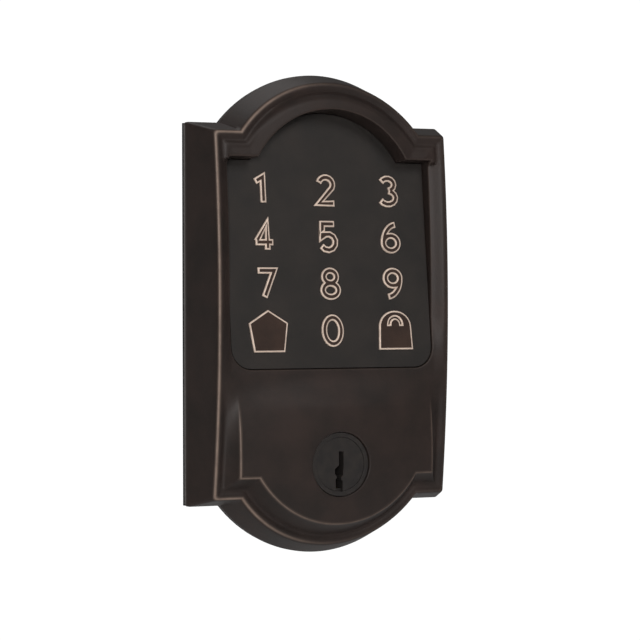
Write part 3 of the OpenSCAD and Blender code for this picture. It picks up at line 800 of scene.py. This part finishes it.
def corners_in(node, edge):
    """The corners of a node's box, drawn in by the screws' head radius."""
    lo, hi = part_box(node)
    return [(x, z) for x in (lo[0] + edge, hi[0] - edge) for z in (lo[2] + edge, hi[2] - edge)]


screws, screw_ids = screw_tree()
FLAT = (-math.pi / 2, 0, 0)
TILTED = (-math.pi / 2 - PANEL_TILT, 0, 0)
HEAD_R = 2.4 * MM
BOARD_HEAD_R = 1.5 * MM

BOARD_BACK = 4.8
spots = np.array([(x, z) for x in (-27.0, 27.0) for z in (-11.5, 38.5)])
seats = [tuple(spot) for spot in on_panel(spots, -BOARD_BACK) * MM]
piece = made_by(screws, screw_ids, "screws_of_board", seats, {
    "Length": 2.1 * MM, "Thread Radius": 0.65 * MM, "Pitch": 0.4 * MM, "Head Radius": BOARD_HEAD_R,
    "Head Height": 0.7 * MM, "Turn": TILTED, "Finish": zinc_plate})
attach(piece, "case")
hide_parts("board_screws")

lo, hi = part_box("cylinder_screws")
seats = [(x, hi[1] - 1.4 * MM, (lo[2] + hi[2]) / 2) for x in (lo[0] + HEAD_R, hi[0] - HEAD_R)]
piece = made_by(screws, screw_ids, "screws_of_cylinder", seats, {
    "Length": 7.4 * MM, "Thread Radius": 1.2 * MM, "Pitch": 0.6 * MM, "Head Radius": HEAD_R,
    "Head Height": 1.4 * MM, "Turn": FLAT, "Finish": zinc_plate})
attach(piece, "case")
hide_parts("cylinder_screws")

lo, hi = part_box("back_plate_screws")
seats = [(x, hi[1] - 1.0 * MM, z) for x, z in corners_in("back_plate_screws", HEAD_R)]
piece = made_by(screws, screw_ids, "screws_of_back_plate", seats, {
    "Length": 6.9 * MM, "Thread Radius": 1.2 * MM, "Pitch": 0.6 * MM, "Head Radius": HEAD_R,
    "Head Height": 1.0 * MM, "Turn": FLAT, "Finish": zinc_plate})
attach(piece, "case")
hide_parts("back_plate_screws")


# ---------------------------------------------------------------- the key cylinder
# The cylinder is a turned brass body with a tower for its pins, its face coated to match the case.
turned_brass = metal_finish("brass", srgb(196, 162, 92), srgb(214, 184, 118), 0.3, (60, 1400, 60), 0.3)
hard_steel = metal_finish("hard_steel", srgb(140, 143, 148), srgb(164, 167, 171),
                          0.3, (700, 700, 60), 0.2)


def face_coat(name, face_y, inner):
    """Brass that carries the bronze coat on its front face and a little way back from it."""
    material, shader, add, join = finish_of(name)
    place = add("ShaderNodeTexCoord")
    split = add("ShaderNodeSeparateXYZ")
    join(place.outputs["Object"], split.inputs["Vector"])
    front = add("ShaderNodeMath", operation="LESS_THAN")
    front.inputs[1].default_value = (face_y + inner) * MM
    join(split.outputs["Y"], front.inputs[0])
    cloud = add("ShaderNodeTexNoise", Scale=300.0, Detail=3.0)
    join(place.outputs["Object"], cloud.inputs["Vector"])
    brass = ramp_of(add, [(0.3, srgb(196, 162, 92)), (0.75, srgb(214, 184, 118))])
    coat = ramp_of(add, [(0.35, srgb(52, 49, 48)), (0.7, srgb(62, 57, 54))])
    join(cloud.outputs["Fac"], brass.inputs["Fac"])
    join(cloud.outputs["Fac"], coat.inputs["Fac"])
    both = add("ShaderNodeMix", data_type="RGBA")
    join(front.outputs["Value"], both.inputs["Factor"])
    join(brass.outputs["Color"], both.inputs["A"])
    join(coat.outputs["Color"], both.inputs["B"])
    join(both.outputs["Result"], shader.inputs["Base Color"])
    bare = add("ShaderNodeMapRange")
    bare.inputs["To Min"].default_value = 1.0
    bare.inputs["To Max"].default_value = 0.3
    join(front.outputs["Value"], bare.inputs["Value"])
    join(bare.outputs["Result"], shader.inputs["Metallic"])
    shader.inputs["Roughness"].default_value = 0.36
    shader.inputs["Specular IOR Level"].default_value = 0.3
    lathe = add("ShaderNodeTexNoise", Scale=1700.0, Detail=2.0)
    join(place.outputs["Object"], lathe.inputs["Vector"])
    skin = add("ShaderNodeBump", Strength=0.12, Distance=0.00005)
    join(lathe.outputs["Fac"], skin.inputs["Height"])
    join(skin.outputs["Normal"], shader.inputs["Normal"])
    return material


body_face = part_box("cylinder_body")[0][1] / MM
soften("cylinder_body", 0.15)
dress("cylinder_body", face_coat("brass_body", body_face, 3.0))
dress("cylinder_seal", black_rubber)
dress("driver_pins", hard_steel)
dress("spring_cover", turned_brass)


# ---------------------------------------------------------------- the springs
# Five coil springs of hard drawn wire press the pins down, and a smaller one holds the cap's pin out.
def spring_tree():
    """A coil spring that rises from each place."""
    tree, ids, add = new_tree("springs")
    for name, value in (("Coil Radius", 0.0011), ("Wire Radius", 0.00016), ("Height", 0.007),
                        ("Coils", 6.0)):
        ids[name] = add_input(tree, name, "NodeSocketFloat", value)
    ids["Turn"] = add_input(tree, "Turn", "NodeSocketVector")
    ids["Finish"] = add_input(tree, "Finish", "NodeSocketMaterial")
    entry = add("NodeGroupInput")
    helix = add("GeometryNodeCurveSpiral", {
        "Resolution": 24, "Rotations": entry.outputs["Coils"], "Start Radius": entry.outputs["Coil Radius"],
        "End Radius": entry.outputs["Coil Radius"], "Height": entry.outputs["Height"]})
    wire = add("GeometryNodeCurvePrimitiveCircle", {"Resolution": 10,
                                                    "Radius": entry.outputs["Wire Radius"]})
    coil = add("GeometryNodeCurveToMesh", {"Curve": helix.outputs["Curve"],
                                           "Profile Curve": wire.outputs["Curve"], "Fill Caps": True})
    place_all(tree, add, entry, coil.outputs["Mesh"])
    return tree, ids


springs, spring_ids = spring_tree()
drawn_wire = metal_finish("spring_steel", srgb(186, 187, 190), srgb(206, 207, 210),
                          0.28, (300, 300, 300), 0.1)
lo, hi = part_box("pin_springs")
wire_r = 0.16 * MM
coil_r = (hi[0] - lo[0]) / 2 - wire_r
pitch = (hi[1] - lo[1] - 2 * coil_r - 2 * wire_r) / 4
seats = [(0, lo[1] + coil_r + wire_r + i * pitch, lo[2] + wire_r) for i in range(5)]
piece = made_by(springs, spring_ids, "springs_of_pins", seats, {
    "Coil Radius": coil_r, "Wire Radius": wire_r, "Height": hi[2] - lo[2] - 2 * wire_r, "Coils": 6.0,
    "Turn": (0.0, 0.0, 0.0), "Finish": drawn_wire})
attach(piece, "case")
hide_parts("pin_springs")

lo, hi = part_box("cap_spring")
wire_r = 0.1 * MM
coil_r = (hi[0] - lo[0]) / 2 - wire_r
seats = [((lo[0] + hi[0]) / 2, lo[1] + wire_r, (lo[2] + hi[2]) / 2)]
piece = made_by(springs, spring_ids, "spring_of_cap", seats, {
    "Coil Radius": coil_r, "Wire Radius": wire_r, "Height": hi[1] - lo[1] - 2 * wire_r, "Coils": 5.0,
    "Turn": FLAT, "Finish": drawn_wire})
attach(piece, "plug")
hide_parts("cap_spring")


# ---------------------------------------------------------------- the plug and its pins
# The plug turns in the cylinder with the key. It is brass, coated on its face, and holds the key pins
# and two hard drill pins; a cap with a spring pin is screwed on its back end.
plug_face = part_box("cylinder_plug")[0][1] / MM
soften("cylinder_plug", 0.1)
dress("cylinder_plug", face_coat("plug_coat", plug_face, 7.0))
dress("key_pins", turned_brass)
dress("drill_pins", hard_steel)
dress("plug_cap", zinc_plate)
dress("cap_pin", hard_steel)


# ---------------------------------------------------------------- the tailpiece, the posts and the plate
# The tailpiece is a flat bar that the plug turns through a quarter of free play. Two threaded posts and
# a pressed back plate are of plated steel.
tail_steel = metal_finish("zinc_steel_bar", srgb(168, 171, 174), srgb(196, 199, 202), 0.32,
                          (700, 40, 700), 0.35)
soften("tailpiece", 0.2)
dress("tailpiece", tail_steel)
dress("mounting_posts", zinc_plate)
dress("back_plate", zinc_plate)


# ---------------------------------------------------------------- the grommet and the door's gasket
# The grommet guards the cable's way through the plate, and the gasket lies between the case and the door.
dress("cable_grommet", black_rubber)
dress("door_gasket", black_rubber)


# ---------------------------------------------------------------- the floor, the lights and the camera
# A pale floor in a dim studio that is white behind the lock, a soft light high in front, another low on
# the left, and one that washes the floor behind.
floor_mesh = bpy.data.meshes.new("floor")
floor_mesh.from_pydata([(-3, -3, -0.2), (3, -3, -0.2), (3, 0.9, -0.2), (-3, 0.9, -0.2)],
                       [], [(0, 1, 2, 3)])
floor = bpy.data.objects.new("floor", floor_mesh)
bpy.context.scene.collection.objects.link(floor)
pale, shader, add, join = finish_of("pale_floor")
shader.inputs["Base Color"].default_value = (0.93, 0.93, 0.93, 1)
shader.inputs["Roughness"].default_value = 0.9
shader.inputs["Specular IOR Level"].default_value = 0.1
floor.data.materials.append(pale)

world = bpy.data.worlds.new("studio")
bpy.context.scene.world = world
world.use_nodes = True
tree = world.node_tree
sky = tree.nodes["Background"]
sky.inputs["Color"].default_value = (1, 1, 1, 1)
toward = tree.nodes.new("ShaderNodeTexCoord")
split = tree.nodes.new("ShaderNodeSeparateXYZ")
tree.links.new(toward.outputs["Generated"], split.inputs["Vector"])
slant = tree.nodes.new("ShaderNodeMath")
slant.operation = "ABSOLUTE"
tree.links.new(split.outputs["Z"], slant.inputs[0])
level = tree.nodes.new("ShaderNodeMath")
level.operation = "SUBTRACT"
tree.links.new(split.outputs["Y"], level.inputs[0])
tree.links.new(slant.outputs["Value"], level.inputs[1])
shade = tree.nodes.new("ShaderNodeMapRange")
shade.inputs["From Min"].default_value = 0.63
shade.inputs["From Max"].default_value = 0.69
shade.inputs["To Min"].default_value = 0.13
shade.inputs["To Max"].default_value = 1.05
tree.links.new(level.outputs["Value"], shade.inputs["Value"])
tree.links.new(shade.outputs["Result"], sky.inputs["Strength"])


def soft_light(name, at, aim, size, power):
    """A square area light at a point, aimed at another, in metres and watts."""
    lamp = bpy.data.lights.new(name, "AREA")
    lamp.shape = "SQUARE"
    lamp.size = size
    lamp.energy = power
    light = bpy.data.objects.new(name, lamp)
    light.location = at
    light.rotation_euler = (Vector(aim) - Vector(at)).to_track_quat("-Z", "Y").to_euler()
    bpy.context.scene.collection.objects.link(light)


soft_light("key", (0.3, -1.4, 0.95), (0, 0, 0.04), 0.6, 6)
soft_light("near", (-0.85, -1.4, 0.3), (0, 0, 0.04), 0.4, 10)
soft_light("floor_wash", (0.1, 0.9, 1.6), (0.1, 0.5, -0.2), 1.2, 6)

YAW = math.radians(28.7)
PITCH = math.radians(0.4)
ROLL = math.radians(0.15)
forward = Vector((math.sin(YAW) * math.cos(PITCH), math.cos(YAW) * math.cos(PITCH), -math.sin(PITCH)))
side = Vector((math.cos(YAW), -math.sin(YAW), 0))
rise = Vector((math.sin(YAW) * math.sin(PITCH), math.cos(YAW) * math.sin(PITCH), math.cos(PITCH)))
right = side * math.cos(ROLL) - rise * math.sin(ROLL)
up = side * math.sin(ROLL) + rise * math.cos(ROLL)
lens = bpy.data.cameras.new("camera")
lens.lens = 167.88
lens.sensor_width = 36.0
lens.clip_start = 0.05
camera = bpy.data.objects.new("camera", lens)
camera.location = Vector((0, 0, 0.0395)) - 0.798 * forward + 0.00273 * right - 0.00168 * up
camera.rotation_euler = Matrix((right, up, -forward)).transposed().to_euler()
bpy.context.scene.collection.objects.link(camera)
bpy.context.scene.camera = camera
bpy.context.scene.view_settings.view_transform = "Standard"
